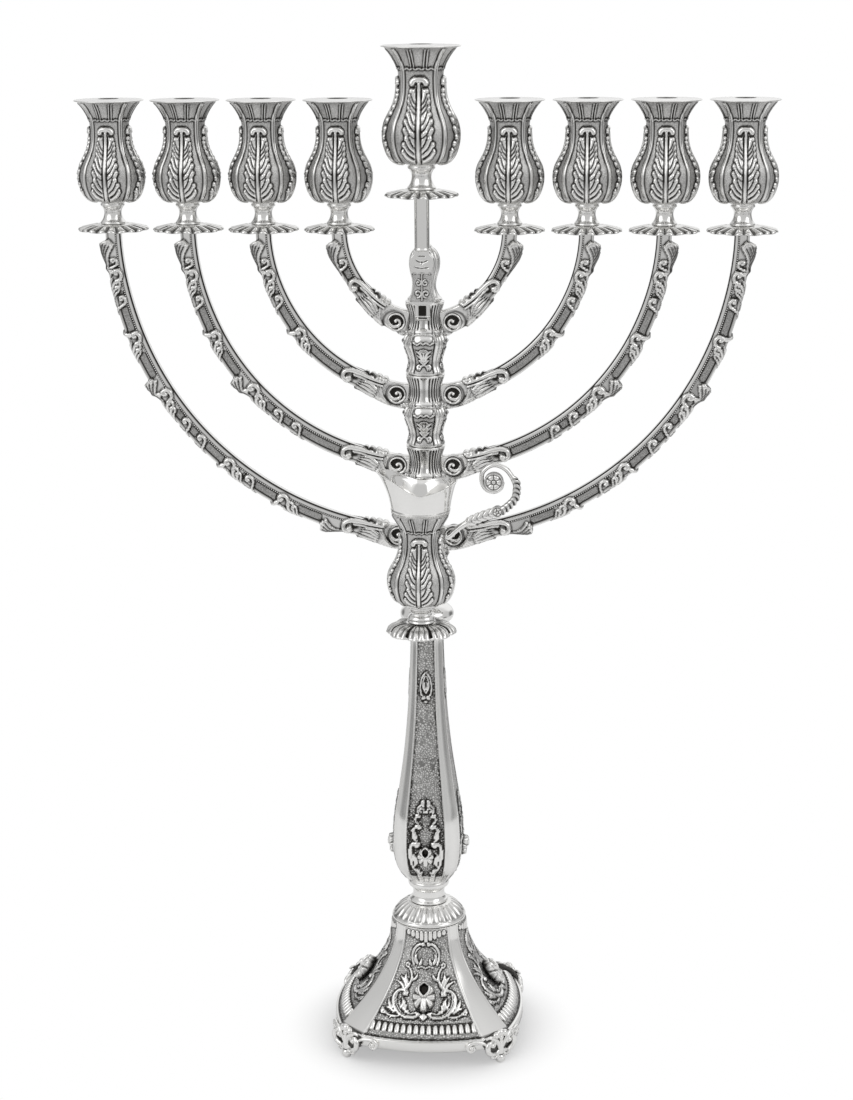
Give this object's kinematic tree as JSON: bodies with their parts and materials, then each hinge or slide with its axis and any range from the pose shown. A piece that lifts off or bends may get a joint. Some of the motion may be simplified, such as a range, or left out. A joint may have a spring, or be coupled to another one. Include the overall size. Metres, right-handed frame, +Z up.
{
  "type": "hanukkah menorah",
  "caption": "Silver hanukkah menorah with curved scrolled arms, leafed cups on drip pans, a lift-off serving light and an oil jug hung on the column above a vase stem and footed base.",
  "frame": {"origin": "on the floor under the stem axis, at the middle of the four feet", "axes": "+Z up along the stem, +X along the row of cups to the right seen from the front, -Y towards the front, where the serving light and the jug are"},
  "size_m": [0.4038, 0.1171, 0.6034],
  "materials": {
    "polished_silver": "polished silver, mirror bright with fine hairlines",
    "antiqued_silver": "cast and stamped silver, bright on the high points and oxidised dark in the recesses",
    "steel_hardware": "plain steel, hidden inside the stem"
  },
  "bodies": {
    "stand": {"base_skirt": "antiqued_silver", "foot_front_right": "antiqued_silver", "foot_back_right": "antiqued_silver", "foot_back_left": "antiqued_silver", "foot_front_left": "antiqued_silver", "base_rosette_front": "antiqued_silver", "base_rosette_right": "antiqued_silver", "base_rosette_back": "antiqued_silver", "base_rosette_left": "antiqued_silver", "fluted_dome": "polished_silver", "base_neck": "polished_silver", "vase_stem": "antiqued_silver", "vase_rosette_front": "antiqued_silver", "vase_rosette_right": "antiqued_silver", "vase_rosette_back": "antiqued_silver", "vase_rosette_left": "antiqued_silver", "stem_knop": "polished_silver", "column_module_1": "antiqued_silver", "column_module_2": "antiqued_silver", "column_module_3": "antiqued_silver", "column_module_4": "antiqued_silver", "column_top": "antiqued_silver", "serving_light_keeper": "polished_silver", "jug_keeper": "polished_silver", "tie_rod": "steel_hardware", "base_nut": "steel_hardware", "arm_left_1": "antiqued_silver", "pan_left_1": "polished_silver", "cup_left_1": "antiqued_silver", "arm_right_1": "antiqued_silver", "pan_right_1": "polished_silver", "cup_right_1": "antiqued_silver", "arm_left_2": "antiqued_silver", "pan_left_2": "polished_silver", "cup_left_2": "antiqued_silver", "arm_right_2": "antiqued_silver", "pan_right_2": "polished_silver", "cup_right_2": "antiqued_silver", "arm_left_3": "antiqued_silver", "pan_left_3": "polished_silver", "cup_left_3": "antiqued_silver", "arm_right_3": "antiqued_silver", "pan_right_3": "polished_silver", "cup_right_3": "antiqued_silver", "arm_left_4": "antiqued_silver", "pan_left_4": "polished_silver", "cup_left_4": "antiqued_silver", "arm_right_4": "antiqued_silver", "pan_right_4": "polished_silver", "cup_right_4": "antiqued_silver"},
    "serving_light": {"serving_bracket": "antiqued_silver", "serving_rod": "polished_silver", "serving_pan": "polished_silver", "serving_cup": "antiqued_silver"},
    "oil_jug": {"jug_foot": "polished_silver", "jug_body": "antiqued_silver", "jug_collar": "polished_silver", "jug_handle": "antiqued_silver"}
  },
  "joints": [
    {"name": "serving_light_lift", "type": "slide", "parent": "stand", "child": "serving_light", "axis": [0, 0, 1], "range_m": [0, 0.06]},
    {"name": "oil_jug_lift", "type": "slide", "parent": "stand", "child": "oil_jug", "axis": [0, 0, 1], "range_m": [0, 0.06]}
  ]
}
